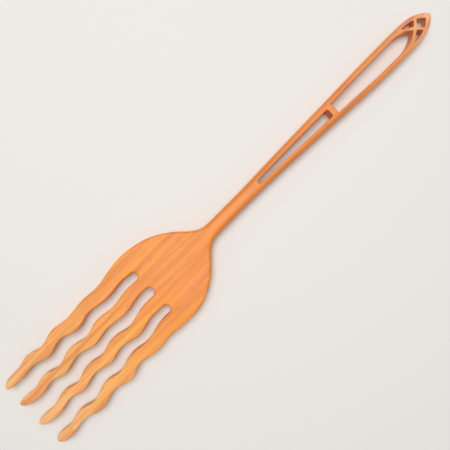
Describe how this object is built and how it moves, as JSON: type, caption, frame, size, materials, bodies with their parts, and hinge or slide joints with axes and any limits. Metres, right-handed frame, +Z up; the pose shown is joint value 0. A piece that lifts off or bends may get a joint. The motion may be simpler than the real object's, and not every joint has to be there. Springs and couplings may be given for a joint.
{
  "type": "wooden pasta fork",
  "caption": "Flat carved wooden fork with wavy tines on an oval head, a slim neck and a pierced handle that ends in a pointed lattice; it combs, lifts and serves pasta.",
  "frame": {"origin": "under the middle of the fork, on the surface it lies on", "axes": "+X from the tine tips to the point of the handle, +Y to the right side as seen by the hand that holds the handle, +Z up through the board"},
  "size_m": [0.3054, 0.0511, 0.01],
  "materials": {
    "cherry_wood": "oiled, sanded smooth, satin"
  },
  "bodies": {
    "root": {"tine_outer_right": "cherry_wood", "tine_inner_right": "cherry_wood", "tine_inner_left": "cherry_wood", "tine_outer_left": "cherry_wood", "head": "cherry_wood", "neck": "cherry_wood", "rail_right": "cherry_wood", "rail_left": "cherry_wood", "bridge": "cherry_wood", "arch_right": "cherry_wood", "arch_left": "cherry_wood", "rib_right": "cherry_wood", "rib_left": "cherry_wood"}
  },
  "joints": []
}
